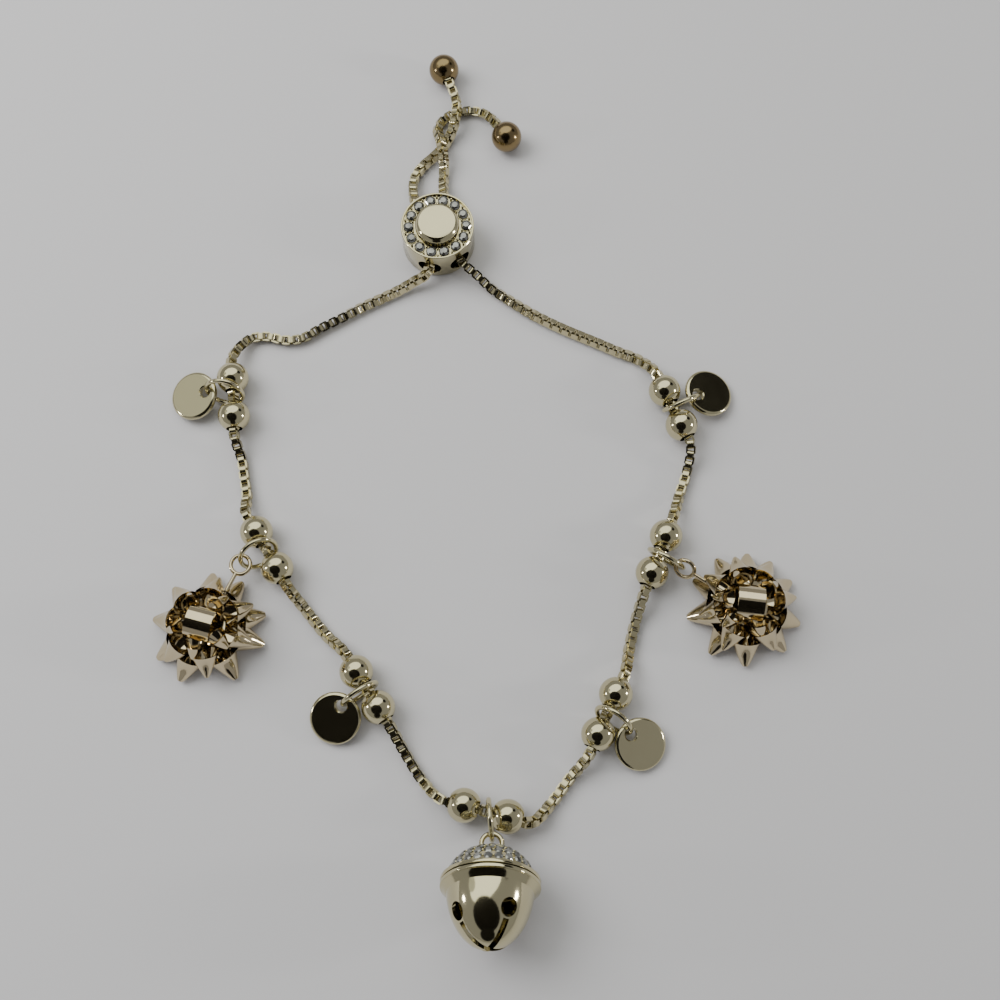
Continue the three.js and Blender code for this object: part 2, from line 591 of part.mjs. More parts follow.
for (const station of STATIONS) {
  const { beads, way } = places[station.name];
  const ring = ringPlaces(station);
  place("bead_" + station.name + "_a", beadGeometry(), GOLD, axisAt(beads[0], way));
  place("bead_" + station.name + "_b", beadGeometry(), GOLD, axisAt(beads[1], way));
  place("jump_ring_" + station.name, wireRing(RING_OUTER, RING_WIRE), GOLD, axisAt(ring.centre, ring.axis));
  if (station.charm === "disc") {
    place("charm_" + station.name, discGeometry(), GOLD, discPlace(station, ring));
  } else if (station.charm === "bow") {
    const bow = bowGeometry(BOWS[station.name], station.turn + 180, ring.centre.z);
    place("charm_" + station.name, bow, GOLD, bowPlace(station, ring));
  } else {
    place("bell_cup", cupGeometry(), GOLD, bellPlace(station, ring));
    place("bell_cap", capGeometry(), GOLD, bellPlace(station, ring));
  }
}

const sliderMatrix = new THREE.Matrix4().setPosition(sliderMiddle);
place("slider_body", sliderGeometry(), GOLD, sliderMatrix);
for (let i = 0; i < STONE_COUNT; i += 1) {
  const stone = stoneGeometry(STONE_DIAMETER, STONE_CROWN, STONE_PAVILION);
  const name = "slider_stone_" + String(i + 1).padStart(2, "0");
  place(name, stone, CRYSTAL, axisAt(sliderMiddle.clone().add(stonePlace(i, SEAT_CLEARANCE)), UP));
}

// The origin is the middle of the underside of the bracelet's box.
bracelet.updateMatrixWorld(true);
const bounds = new THREE.Box3().setFromObject(bracelet, true);
const middle = bounds.getCenter(new THREE.Vector3());
bracelet.position.set(-middle.x, -middle.y, -bounds.min.z);

export default bracelet;
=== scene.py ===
"""Looks of a charm bracelet on a plain surface: box chain, beads, jump rings and charms."""

import math

import bmesh
import bpy
from bpy.props import FloatProperty, FloatVectorProperty, IntProperty, PointerProperty
from mathutils import Matrix, Vector


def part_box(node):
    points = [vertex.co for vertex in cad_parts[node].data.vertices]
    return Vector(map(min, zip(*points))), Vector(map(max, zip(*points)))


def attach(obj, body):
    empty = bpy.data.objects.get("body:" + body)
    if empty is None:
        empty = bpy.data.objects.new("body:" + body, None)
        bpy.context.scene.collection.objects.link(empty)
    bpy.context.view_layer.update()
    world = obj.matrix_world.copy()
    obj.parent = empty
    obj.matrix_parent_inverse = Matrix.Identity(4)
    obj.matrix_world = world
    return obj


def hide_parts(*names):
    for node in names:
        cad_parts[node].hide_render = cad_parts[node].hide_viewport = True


bl_info = {
    "name": "Charm Bracelet",
    "version": (1, 0, 0),
    "blender": (4, 5, 0),
    "location": "View3D > Sidebar > Bracelet",
    "description": "Builds the pieces of a slider charm bracelet and the surface that it lies on",
    "category": "Add Mesh",
}

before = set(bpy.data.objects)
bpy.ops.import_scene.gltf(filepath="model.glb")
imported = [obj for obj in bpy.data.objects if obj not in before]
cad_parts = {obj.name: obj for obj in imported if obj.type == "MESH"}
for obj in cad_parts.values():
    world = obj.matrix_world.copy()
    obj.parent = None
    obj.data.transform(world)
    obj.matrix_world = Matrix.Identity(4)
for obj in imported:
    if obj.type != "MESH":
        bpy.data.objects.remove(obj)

MM = 0.001
UP = Vector((0, 0, 1))

# Where things lie, in millimetres and degrees on the plane that the loop was laid out on.
FLOOR_GAP = 0.05
SLIDER = (-7.95, 34.85, 103)
RING_SIDE_GAP = 0.15
RING_CLEARANCE = 0.15
STRAND_GAP = 0.15
LEVEL_RUN = 0.7
SURFACE_PLAY = 0.02
ROLL_WAVE = 7.0

# The bows and the bell as they lie: reach of the lower petals, and shifts of the eyes from the
# wires of their jump rings.
BOW_REACH = 6.85
BOW_EYE_SHIFT = 0.25
BELL_EYE_SHIFT = 0.42
BELL_TILT = 25
BELL_REACH = 5.55
SLOT_TURNS = (59, 149)
HOLE_TURNS = (59, 149, 239, 329)
CAP_ROWS = (20, 33, 46, 59, 72)

# Stage, in millimetres on the layout plane.
# name: place, width, depth, watts, colour, shows in reflections
LIGHTS = {
    "ceiling_back": ((-84, 186, 342), 760, 410, 1.15, (0.97, 1.0, 0.93), True),
    "window_right": ((330, -20, 95), 48, 48, 0.3, (1.0, 0.98, 0.95), True),
    "window_left": ((-330, -30, 100), 36, 36, 0.12, (1.0, 0.99, 0.97), True),
    "fill_left": ((-260, 120, 300), 300, 300, 1.3, (0.98, 0.98, 1.0), False),
}

# name: place, half width, half height, glow
CARDS = {
    "dark_front": ((-55, -165, 320), 270, 225, 0),
    "dark_body": ((-30, -340, 150), 120, 130, 0),
    "dark_far": ((243, 192, 212), 70, 70, 0),
    "pale_side": ((-257, 86, 213), 56, 56, 0.7),
}
CARD_COLOUR = (0.012, 0.011, 0.01)
CARD_GLOW = (0.97, 1.0, 0.93)
SKY_COLOUR = (0.97, 0.98, 1.0)
SKY_STRENGTH = 0.34
FLOOR_REACH = 1500
CAMERA_ELEVATION = 73.5
CAMERA_DISTANCE = 159.4
CAMERA_LENS = 46.8

# name: charm, x, y, heading, swing, lean, turn, slack
STATIONS = {
    "disc_1": ("disc", -33.03, 12.73, -85, -14, -15, 192, 0.1),
    "bow_1": ("bow", -27.91, -6.82, -59, 0, -22, 244.5, 0.3),
    "disc_2": ("disc", -15.4, -23.51, -57, 0, 0, 240, 0),
    "bell": ("bell", -1.6, -37.24, -14, 19, 0, -91.5, 0.2),
    "disc_3": ("disc", 12.35, -26.34, 65, -10, 14, -43, 0.2),
    "bow_2": ("bow", 19.01, -7.35, 68, -8, -10, -33, 0),
    "disc_4": ("disc", 21.38, 11.28, 113, 2, -15, 19, 0),
}

# Ways that the petals of each bow point: the lower tier, the upper one and the small ones inside.
# Then the turn of its top loop and the tilt of its eye.
BOWS = {
    "bow_1": ((16, 58, 90, 132, 169, 210, 243, 301, 345), (26, 78, 129, 172, 222, 275, 340),
              (50, 118, 190, 258, 318), -15, 0),
    "bow_2": ((30, 58, 83, 115, 148, 188, 232, 269, 313, 345), (10, 58, 100, 142, 194, 240, 300),
              (35, 110, 170, 222, 290), -7, 50),
}

# The chain's free stretches: x, y and how many strands it passes over.
ROUTE = {
    "tail_left": (
        (-7.51, 59.57, 0), (-5.95, 55.4, 0.8), (-5.75, 53.75, 1), (-6.1, 51.4, 0.6),
        (-6.8, 49.8, 0.15), (-7.75, 48.3, 0), (-8.9, 47.0, 0), (-10.1, 45.8, 0),
        (-11.1, 44.2, 0), (-11.4, 42.3, 0.3),
    ),
    "disc_1": (
        (-9.6, 29.3, 0.85), (-10.9, 28.75, 0.45), (-12.7, 27.85, 0.1), (-15.0, 26.7, 0),
        (-17.6, 25.4, 0), (-20.1, 24.0, 0), (-22.6, 22.6, 0), (-25.1, 21.1, 0),
        (-27.2, 20.85, 0), (-29.6, 21.35, 0), (-31.7, 20.9, 0.1),
    ),
    "bow_1": (
        (-31.75, 4.9, 0), (-31.3, 2.5, 0), (-30.85, 0.2, 0.1),
    ),
    "disc_2": (
        (-23.2, -13.8, 0), (-20.6, -16.9, 0),
    ),
    "bell": (
        (-10.9, -30.7, 0), (-9.0, -33.6, 0),
    ),
    "disc_3": (
        (5.9, -36.3, 0), (8.0, -33.6, 0),
    ),
    "bow_2": (
        (15.25, -18.5, 0), (16.0, -15.5, 0),
    ),
    "disc_4": (
        (22.0, 0.6, 0), (23.0, 3.5, 0),
    ),
    "slider": (
        (17.3, 18.2, 0.1), (14.6, 19.4, 0), (11.9, 20.65, 0), (9.2, 21.85, 0),
        (6.5, 23.15, 0), (3.9, 24.6, 0), (1.4, 26.25, 0), (-0.9, 27.9, 0),
        (-2.9, 29.6, 0.4),
    ),
    "tail_right": (
        (-7.4, 43.6, 0.1), (-7.35, 45.6, 0.4), (-7.5, 47.0, 0.85), (-7.75, 48.3, 1),
        (-8.05, 49.7, 0.6), (-8.3, 51.0, 0), (-7.6, 52.7, 0), (-5.75, 53.75, 0),
        (-3.6, 54.05, 0), (-1.9, 53.3, 0.3), (0.86, 49.35, 0),
    ),
}


def size(name, description, default):
    """A length property in millimetres."""
    return FloatProperty(
        name=name, description=description, default=default, min=0.01, max=100.0, precision=2
    )


class ChainSettings(bpy.types.PropertyGroup):
    """Sizes of the box chain, in millimetres."""

    thickness: size("Thickness", "Outer width of the chain's round envelope", 1.35)
    link_length: size("Link length", "Outer length of one link", 1.05)
    link_width: size("Link width", "Outer width of one link", 1.16)
    strip_width: size("Strip width", "Width of the strip that a link is bent from", 0.74)
    strip_thickness: size("Strip thickness", "Thickness of the strip", 0.21)
    pitch: size("Pitch", "Distance from one link to the next", 0.65)
    twist: FloatProperty(
        name="Twist", description="How far the chain rolls to each side", default=0.5, subtype="ANGLE"
    )


class BeadSettings(bpy.types.PropertyGroup):
    """Sizes of the beads and the end balls, in millimetres."""

    diameter: size("Diameter", "Width of a spacer bead", 4.0)
    bore: size("Bore", "Width of a bead's hole", 1.99)
    ball_bore: size("Ball bore", "Width of the blind hole in an end ball", 1.65)
    sides: IntProperty(name="Sides", description="Faces round a bead", default=36, min=8, max=96)


class RingSettings(bpy.types.PropertyGroup):
    """Sizes of the jump rings, in millimetres."""

    outer: size("Outer diameter", "Width of a jump ring", 5.1)
    wire: size("Wire", "Width of its wire", 0.6)
    seam: FloatProperty(
        name="Seam", description="Opening where the wire's ends meet", default=0.035, subtype="ANGLE"
    )


class DiscSettings(bpy.types.PropertyGroup):
    """Sizes of the disc charms, in millimetres."""

    diameter: size("Diameter", "Width of a disc", 6.1)
    thickness: size("Thickness", "Thickness of a disc", 0.8)
    bevel: size("Bevel", "Width of the rounded edge", 0.5)
    hole: size("Hole", "Width of the hole", 1.4)
    web: size("Web", "Metal between the hole and the rim", 0.7)
    play: size("Play", "From the ring's wire to the middle of the hole", 0.3)


class BowSettings(bpy.types.PropertyGroup):
    """Sizes of the bow charms, in millimetres."""

    radius: size("Radius", "From the middle to the lower petals' tips", 6.78)
    low_length: size("Lower length", "Length of a lower petal", 3.7)
    low_mouth: size("Lower mouth", "Width of a lower petal's mouth", 3.5)
    low_tip: size("Lower tip", "Width of a lower petal's tip", 0.6)
    high_radius: size("Upper radius", "From the middle to the upper petals' tips", 5.95)
    high_length: size("Upper length", "Length of an upper petal", 3.4)
    high_mouth: size("Upper mouth", "Width of an upper petal's mouth", 3.3)
    high_tip: size("Upper tip", "Width of an upper petal's tip", 0.4)
    inner_radius: size("Inner radius", "From the middle to the small petals' tips", 4.1)
    inner_length: size("Inner length", "Length of a small petal", 2.3)
    inner_mouth: size("Inner mouth", "Width of a small petal's mouth", 2.3)
    inner_tip: size("Inner tip", "Width of a small petal's tip", 0.5)
    stand_off: size("Stand-off", "From the petals' reach to the eye's middle", 1.5)
    wall: size("Wall", "Thickness of the metal", 0.25)
    opening: FloatProperty(
        name="Opening", description="Share of a petal's top that its mouth cuts away", default=0.28
    )
    loop: size("Loop", "Width of the top loop", 4.2)
    loop_width: size("Loop band", "Width of its band", 3.1)
    eye: size("Eye", "Outer width of the wire eye", 2.8)
    wire: size("Wire", "Width of the eye's wire", 0.5)


class BellSettings(bpy.types.PropertyGroup):
    """Sizes of the bell charm, in millimetres."""

    flange: size("Flange radius", "Radius of both flanges", 5.53)
    flange_thickness: size("Flange thickness", "Thickness of one flange", 0.45)
    seam: size("Seam", "Gap between the two halves", 0.12)
    cup_radius: size("Cup radius", "Radius of the slotted cup", 4.88)
    cup_depth: size("Cup depth", "From the seam to the cup's pole", 7.18)
    cap_radius: size("Cap radius", "Radius of the stone-set cap", 4.85)
    cap_height: size("Cap height", "From the seam to the cap's top", 4.0)
    wall: size("Wall", "Thickness of the metal", 0.5)
    slot: size("Slot", "Width of a slot", 0.7)
    slot_hole: size("Slot hole", "Width of the hole at a slot's end", 1.9)
    stone: size("Stone", "Width of a stone on the cap", 1.0)
    eye: size("Eye", "Outer width of the eye", 2.85)
    wire: size("Wire", "Width of the eye's wire", 0.55)


class SliderSettings(bpy.types.PropertyGroup):
    """Sizes of the slider, in millimetres."""

    diameter: size("Diameter", "Width of the drum", 9.3)
    deck: size("Deck", "Height of the stones' seats", 4.6)
    rim: size("Rim", "Width and rise of the rim", 0.25)
    button: size("Button", "Width of the button", 5.6)
    face: size("Button face", "Width of the button's flat", 4.6)
    rise: size("Button rise", "From the seats to the button's flat", 1.3)
    channel: size("Channel", "Width of a channel", 2.7)
    spacing: size("Channel spacing", "Between the two channels", 3.9)
    channel_height: size("Channel height", "Height of the channels' middle", 2.15)
    stone: size("Stone", "Width of a stone", 1.4)
    circle: size("Stone circle", "Width of the circle of stones", 7.3)
    stones: IntProperty(name="Stones", description="How many stones", default=14, min=4, max=40)


class LookSettings(bpy.types.PropertyGroup):
    """Colours and finishes."""

    gold: FloatVectorProperty(
        name="Pale gold", description="Colour of the metal", default=(0.62, 0.565, 0.36), subtype="COLOR"
    )
    ribbon: FloatVectorProperty(
        name="Ribbon gold", description="Colour of the bows", default=(0.65, 0.555, 0.37), subtype="COLOR"
    )
    bronze: FloatVectorProperty(
        name="Bronze gold", description="Colour of the end balls", default=(0.27, 0.2, 0.1), subtype="COLOR"
    )
    crystal: FloatVectorProperty(
        name="Crystal", description="Tint of the stones", default=(0.52, 0.52, 0.48), subtype="COLOR"
    )
    floor: FloatVectorProperty(
        name="Floor", description="Colour of the surface", default=(0.55, 0.54, 0.545), subtype="COLOR"
    )


# Geometry helpers. Shapes are modelled in millimetres round Z and then moved into the row's frame.


def level(heading):
    """The level direction of a heading in degrees."""
    a = math.radians(heading)
    return Vector((math.cos(a), math.sin(a), 0))


def at_axis(point, axis):
    """A matrix that turns Z along an axis and puts the origin at a point."""
    return Matrix.Translation(point) @ axis.to_track_quat("Z", "Y").to_matrix().to_4x4()


def at_frame(point, x_way, z_way):
    """A matrix with X and Z along two square directions and the origin at a point."""
    y_way = z_way.cross(x_way)
    turn = Matrix((x_way, y_way, z_way)).transposed().to_4x4()
    return Matrix.Translation(point) @ turn


def row_frame():
    """From millimetres on the layout plane to the row's frame, read from where the slider is."""
    low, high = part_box("slider_body")
    middle = (low + high) / 2
    shift = Vector((middle.x - SLIDER[0] * MM, middle.y - SLIDER[1] * MM, 0))
    return Matrix.Translation(shift) @ Matrix.Scale(MM, 4)


ROW = row_frame()


def arc(width, height, start, end, steps):
    """Points of an elliptic arc as (radius, height), from one angle above the level to another."""
    turns = [math.radians(start + (end - start) * i / steps) for i in range(steps + 1)]
    return [(width * math.cos(a), height * math.sin(a)) for a in turns]


def lathe(bm, profile, sides, matrix=None, closed=False, turn=2 * math.pi):
    """Spins a profile of (radius, height) round Z and moves it by a matrix."""
    verts = [bm.verts.new((r, 0, z)) for r, z in profile]
    pairs = list(zip(verts, verts[1:])) + ([(verts[-1], verts[0])] if closed else [])
    edges = [bm.edges.new(pair) for pair in pairs]
    whole = turn > 2 * math.pi - 1e-6
    before = set(bm.verts) - set(verts)
    bmesh.ops.spin(
        bm, geom=verts + edges, cent=(0, 0, 0), axis=(0, 0, 1), angle=turn, steps=sides, use_merge=whole
    )
    made = [v for v in bm.verts if v not in before]
    bmesh.ops.remove_doubles(bm, verts=made, dist=1e-4)
    made = [v for v in bm.verts if v not in before]
    if matrix is not None:
        bmesh.ops.transform(bm, matrix=matrix, verts=made)
    return made


def ball(bm, radius, point, segments=10):
    """A small sphere at a point."""
    made = bmesh.ops.create_uvsphere(bm, u_segments=segments, v_segments=segments // 2, radius=radius)
    bmesh.ops.translate(bm, verts=made["verts"], vec=point)


def wire_ring(bm, outer, wire, matrix, sides=48, around=12, seam=0.0):
    """A ring of round wire about Z, open by a small seam when one is given."""
    section = [((outer - wire) / 2 + x, z) for x, z in arc(wire / 2, wire / 2, 0, 360, around)[:-1]]
    lathe(bm, section, sides, matrix, closed=True, turn=2 * math.pi - seam)
    if seam:
        ends = [e for e in bm.edges if e.is_boundary]
        bmesh.ops.holes_fill(bm, edges=ends, sides=around)


def loft(bm, loops, matrix):
    """Joins rings of points, each ring to the next one, and moves them by a matrix."""
    rings = [[bm.verts.new(matrix @ Vector(p)) for p in loop] for loop in loops]
    for low, high in zip(rings, rings[1:]):
        count = len(low)
        for i in range(count):
            bm.faces.new((low[i], low[(i + 1) % count], high[(i + 1) % count], high[i]))
    return rings


def sharpen(mesh, angle):
    """Shades a mesh smooth, but for edges that are sharper than an angle."""
    bm = bmesh.new()
    bm.from_mesh(mesh)
    bmesh.ops.recalc_face_normals(bm, faces=bm.faces)
    for face in bm.faces:
        face.smooth = True
    for edge in bm.edges:
        edge.smooth = edge.is_manifold and edge.calc_face_angle(0.0) < math.radians(angle)
    bm.to_mesh(mesh)
    bm.free()


def mesh_object(name, bm):
    """A new object in the row's frame from shapes in millimetres."""
    bmesh.ops.transform(bm, matrix=ROW, verts=bm.verts)
    bmesh.ops.recalc_face_normals(bm, faces=bm.faces)
    mesh = bpy.data.meshes.new(name)
    bm.to_mesh(mesh)
    bm.free()
    made = bpy.data.objects.new(name, mesh)
    bpy.context.scene.collection.objects.link(made)
    return made


def cut(target, cutter):
    """Takes one object's shape out of another's."""
    modifier = target.modifiers.new("cut", "BOOLEAN")
    modifier.operation = "DIFFERENCE"
    modifier.solver = "EXACT"
    modifier.object = cutter
    bpy.context.view_layer.update()
    shaped = target.evaluated_get(bpy.context.evaluated_depsgraph_get())
    mesh = bpy.data.meshes.new_from_object(shaped)
    target.modifiers.clear()
    target.data = mesh
    bpy.data.objects.remove(cutter)
    if not mesh.polygons:
        raise RuntimeError("cutting " + target.name + " left nothing of it")


def finish_piece(made, nodes, material, angle=35):
    """Shades a piece, gives it its material and ties it to the CAD nodes that it stands for."""
    if not made.data.polygons:
        raise RuntimeError(made.name + " has no faces")
    sharpen(made.data, angle)
    made.data.materials.clear()
    made.data.materials.append(material)
    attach(made, "root")
    if nodes:
        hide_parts(*nodes)
    return made


# Where the pieces of each station lie.


def station_beads(name):
    """The middle of a station, the chain's way there, and the middles of its two beads."""
    _, x, y, heading, _, _, _, slack = STATIONS[name]
    bead = bpy.context.scene.bracelet_beads.diameter
    ring = bpy.context.scene.bracelet_rings
    middle = Vector((x, y, bead / 2 + FLOOR_GAP))
    way = level(heading)
    half = bead / 2 + ring.wire / 2 + RING_SIDE_GAP + slack / 2
    return middle, way, [middle - way * half, middle + way * half], half + bead / 2


def station_ring(name):
    """Middle, outward way, axis and rising way of a station's jump ring, and its wire's radius."""
    _, _, _, heading, swing, lean, _, _ = STATIONS[name]
    middle = station_beads(name)[0]
    ring = bpy.context.scene.bracelet_rings
    chain = bpy.context.scene.bracelet_chain
    lean = math.radians(lean)
    across = level(heading - 90)
    out = level(heading - 90 + swing)
    side = level(heading + swing)
    radius = (ring.outer - ring.wire) / 2
    height = radius * math.cos(lean) + ring.wire / 2 + FLOOR_GAP
    room = ring.outer / 2 - ring.wire - chain.thickness / 2 - RING_CLEARANCE
    rise = height - middle.z
    offset = math.sqrt(max(0, room * room - rise * rise))
    inner = middle + across * (offset - radius)
    inner.z = height
    centre = inner + out * radius
    axis = side * math.cos(lean) - UP * math.sin(lean)
    rising = UP * math.cos(lean) + side * math.sin(lean)
    return centre, out, axis, rising, radius


def strand(point):
    """A point of a free stretch, lying on the surface or passing over other strands."""
    thickness = bpy.context.scene.bracelet_chain.thickness
    x, y, over = point
    return Vector((x, y, thickness / 2 + FLOOR_GAP + over * (thickness + STRAND_GAP)))


def tail(points):
    """The ball's middle, the way back along the chain, and the chain's points from the ball."""
    bead = bpy.context.scene.bracelet_beads.diameter
    end, following = points[0], points[1]
    middle = Vector((end[0], end[1], bead / 2 + FLOOR_GAP))
    back = Vector((following[0] - end[0], following[1] - end[1], 0)).normalized()
    straight = [middle + back * d for d in (0, bead / 2, bead / 2 + LEVEL_RUN)]
    return middle, back, straight + [strand(p) for p in points[1:]]


def channel(side):
    """The chain's points in one channel of the slider, from the front to the back."""
    s = bpy.context.scene.bracelet_slider
    middle = Vector((SLIDER[0], SLIDER[1], s.channel_height))
    middle += level(SLIDER[2] - 90) * (side * s.spacing / 2)
    return [middle + level(SLIDER[2]) * d for d in (0.8 - s.diameter / 2, 0, s.diameter / 2 + 0.6)]


def chain_points():
    """The chain's whole way from one ball to the other."""
    points = tail(ROUTE["tail_left"])[2] + channel(-1)[::-1]
    for name in STATIONS:
        middle, way, beads, mouth = station_beads(name)
        points += [strand(p) for p in ROUTE[name]]
        points += [middle - way * (mouth + LEVEL_RUN), *beads, middle + way * (mouth + LEVEL_RUN)]
    points += [strand(p) for p in ROUTE["slider"]] + channel(1)
    return points + tail(ROUTE["tail_right"][::-1])[2][::-1]


def smooth_way(points, steps=8):
    """Points close together on the curve through a list of points."""
    ends = [2 * points[0] - points[1], *points, 2 * points[-1] - points[-2]]
    way = [points[0]]
    for p0, p1, p2, p3 in zip(ends, ends[1:], ends[2:], ends[3:]):
        d0, d1, d2 = (math.sqrt((b - a).length) for a, b in ((p0, p1), (p1, p2), (p2, p3)))
        m1 = ((p1 - p0) / d0 - (p2 - p0) / (d0 + d1) + (p2 - p1) / d1) * d1
        m2 = ((p2 - p1) / d1 - (p3 - p1) / (d1 + d2) + (p3 - p2) / d2) * d1
        for i in range(1, steps + 1):
            t = i / steps
            way.append(
                p1 + m1 * t + (3 * p2 - 3 * p1 - 2 * m1 - m2) * t**2 + (2 * p1 - 2 * p2 + m1 + m2) * t**3
            )
            way[-1].z = max(way[-1].z, min(p1.z, p2.z))
    return way


def stepped(way, pitch):
    """Points and directions at an even pitch along a way."""
    found = []
    gone, wanted = 0.0, pitch / 2
    for a, b in zip(way, way[1:]):
        length = (b - a).length
        while wanted <= gone + length:
            found.append((a.lerp(b, (wanted - gone) / length), (b - a).normalized()))
            wanted += pitch
        gone += length
    return found


# Materials: shared effects are node groups, and each material holds its own shader.


def effect_group(name, inputs, outputs):
    """An empty node group with named sockets, and its input and output nodes."""
    group = bpy.data.node_groups.new(name, "ShaderNodeTree")
    for label, kind, value in inputs:
        socket = group.interface.new_socket(name=label, in_out="INPUT", socket_type=kind)
        if value is not None:
            socket.default_value = value
    for label, kind in outputs:
        group.interface.new_socket(name=label, in_out="OUTPUT", socket_type=kind)
    return group, group.nodes.new("NodeGroupInput"), group.nodes.new("NodeGroupOutput")


def metal_skin():
    """Fine unevenness of polished plating: colour, roughness and a shallow relief."""
    found = bpy.data.node_groups.get("Metal Skin")
    if found:
        return found
    group, entry, leave = effect_group(
        "Metal Skin",
        [
            ("Vector", "NodeSocketVector", None),
            ("Colour", "NodeSocketColor", (0.8, 0.74, 0.58, 1)),
            ("Shade", "NodeSocketFloat", 0.12),
            ("Roughness", "NodeSocketFloat", 0.1),
            ("Grain", "NodeSocketFloat", 6000.0),
            ("Relief", "NodeSocketFloat", 0.04),
        ],
        [("Colour", "NodeSocketColor"), ("Roughness", "NodeSocketFloat"), ("Normal", "NodeSocketVector")],
    )
    nodes, links = group.nodes, group.links
    broad = nodes.new("ShaderNodeTexNoise")
    broad.inputs["Scale"].default_value = 420.0
    broad.inputs["Detail"].default_value = 3.0
    links.new(entry.outputs["Vector"], broad.inputs["Vector"])
    fine = nodes.new("ShaderNodeTexNoise")
    fine.inputs["Detail"].default_value = 2.0
    links.new(entry.outputs["Vector"], fine.inputs["Vector"])
    links.new(entry.outputs["Grain"], fine.inputs["Scale"])
    darker = nodes.new("ShaderNodeMix")
    darker.data_type = "RGBA"
    darker.blend_type = "MULTIPLY"
    darker.inputs["B"].default_value = (0.55, 0.47, 0.36, 1)
    links.new(entry.outputs["Colour"], darker.inputs["A"])
    share = nodes.new("ShaderNodeMath")
    share.operation = "MULTIPLY"
    links.new(broad.outputs["Fac"], share.inputs[0])
    links.new(entry.outputs["Shade"], share.inputs[1])
    links.new(share.outputs["Value"], darker.inputs["Factor"])
    links.new(darker.outputs["Result"], leave.inputs["Colour"])
    spread = nodes.new("ShaderNodeMapRange")
    spread.inputs["To Min"].default_value = 0.7
    spread.inputs["To Max"].default_value = 1.4
    links.new(broad.outputs["Fac"], spread.inputs["Value"])
    rough = nodes.new("ShaderNodeMath")
    rough.operation = "MULTIPLY"
    links.new(spread.outputs["Result"], rough.inputs[0])
    links.new(entry.outputs["Roughness"], rough.inputs[1])
    links.new(rough.outputs["Value"], leave.inputs["Roughness"])
    bump = nodes.new("ShaderNodeBump")
    bump.inputs["Distance"].default_value = 0.00002
    links.new(entry.outputs["Relief"], bump.inputs["Strength"])
    links.new(fine.outputs["Fac"], bump.inputs["Height"])
    links.new(bump.outputs["Normal"], leave.inputs["Normal"])
    return group


def metal(name, colour, shade=0.12, roughness=0.1, grain=6000.0, relief=0.04):
    """A metal material that takes its unevenness from the shared skin."""
    found = bpy.data.materials.get(name)
    if found:
        return found
    material = bpy.data.materials.new(name)
    material.use_nodes = True
    nodes, links = material.node_tree.nodes, material.node_tree.links
    shader = nodes["Principled BSDF"]
    shader.inputs["Metallic"].default_value = 1.0
    skin = nodes.new("ShaderNodeGroup")
    skin.node_tree = metal_skin()
    skin.inputs["Colour"].default_value = (*colour, 1)
    skin.inputs["Shade"].default_value = shade
    skin.inputs["Roughness"].default_value = roughness
    skin.inputs["Grain"].default_value = grain
    skin.inputs["Relief"].default_value = relief
    place = nodes.new("ShaderNodeTexCoord")
    links.new(place.outputs["Object"], skin.inputs["Vector"])
    links.new(skin.outputs["Colour"], shader.inputs["Base Color"])
    links.new(skin.outputs["Roughness"], shader.inputs["Roughness"])
    links.new(skin.outputs["Normal"], shader.inputs["Normal"])
    return material


def polished():
    """The smooth plating of most pieces."""
    return metal("Pale Gold Polished", bpy.context.scene.bracelet_look.gold)


def ribbon_gold():
    """The warmer plating of the bows."""
    return metal("Pale Gold Ribbon", bpy.context.scene.bracelet_look.ribbon, 0.2, 0.08)


def chain_gold():
    """The chain's plating, a little rougher and more uneven."""
    return metal("Pale Gold Chain", bpy.context.scene.bracelet_look.gold, 0.35, 0.16)


def disc_gold():
    """The discs' plating, with a fine relief."""
    return metal("Pale Gold Disc", bpy.context.scene.bracelet_look.gold, 0.1, 0.13, 9000.0, 0.1)


def bronze():
    """The satin finish of the end balls."""
    return metal("Bronze Gold Satin", bpy.context.scene.bracelet_look.bronze, 0.25, 0.17, 5000.0, 0.05)


def crystal():
    """Clear cut stone, a little cloudy in places."""
    found = bpy.data.materials.get("Crystal")
    if found:
        return found
    material = bpy.data.materials.new("Crystal")
    material.use_nodes = True
    nodes, links = material.node_tree.nodes, material.node_tree.links
    shader = nodes["Principled BSDF"]
    shader.inputs["Roughness"].default_value = 0.03
    shader.inputs["IOR"].default_value = 2.1
    shader.inputs["Metallic"].default_value = 0.8
    shader.inputs["Transmission Weight"].default_value = 0.5
    place = nodes.new("ShaderNodeTexCoord")
    cloud = nodes.new("ShaderNodeTexNoise")
    cloud.inputs["Scale"].default_value = 1300.0
    links.new(place.outputs["Object"], cloud.inputs["Vector"])
    tint = nodes.new("ShaderNodeMix")
    tint.data_type = "RGBA"
    tint.inputs["A"].default_value = (*bpy.context.scene.bracelet_look.crystal, 1)
    tint.inputs["B"].default_value = (0.1, 0.1, 0.09, 1)
    links.new(cloud.outputs["Fac"], tint.inputs["Factor"])
    links.new(tint.outputs["Result"], shader.inputs["Base Color"])
    return material


def plain(name, colour, glow=0.0):
    """A plain matt material for the stage, with a pale glow when one is given."""
    material = bpy.data.materials.new(name)
    material.use_nodes = True
    shader = material.node_tree.nodes["Principled BSDF"]
    shader.inputs["Base Color"].default_value = (*colour, 1)
    shader.inputs["Roughness"].default_value = 0.9
    shader.inputs["Specular IOR Level"].default_value = 0.2
    shader.inputs["Emission Color"].default_value = (*CARD_GLOW, 1)
    shader.inputs["Emission Strength"].default_value = glow
    return material


# Operators, one for each piece or group of like pieces.


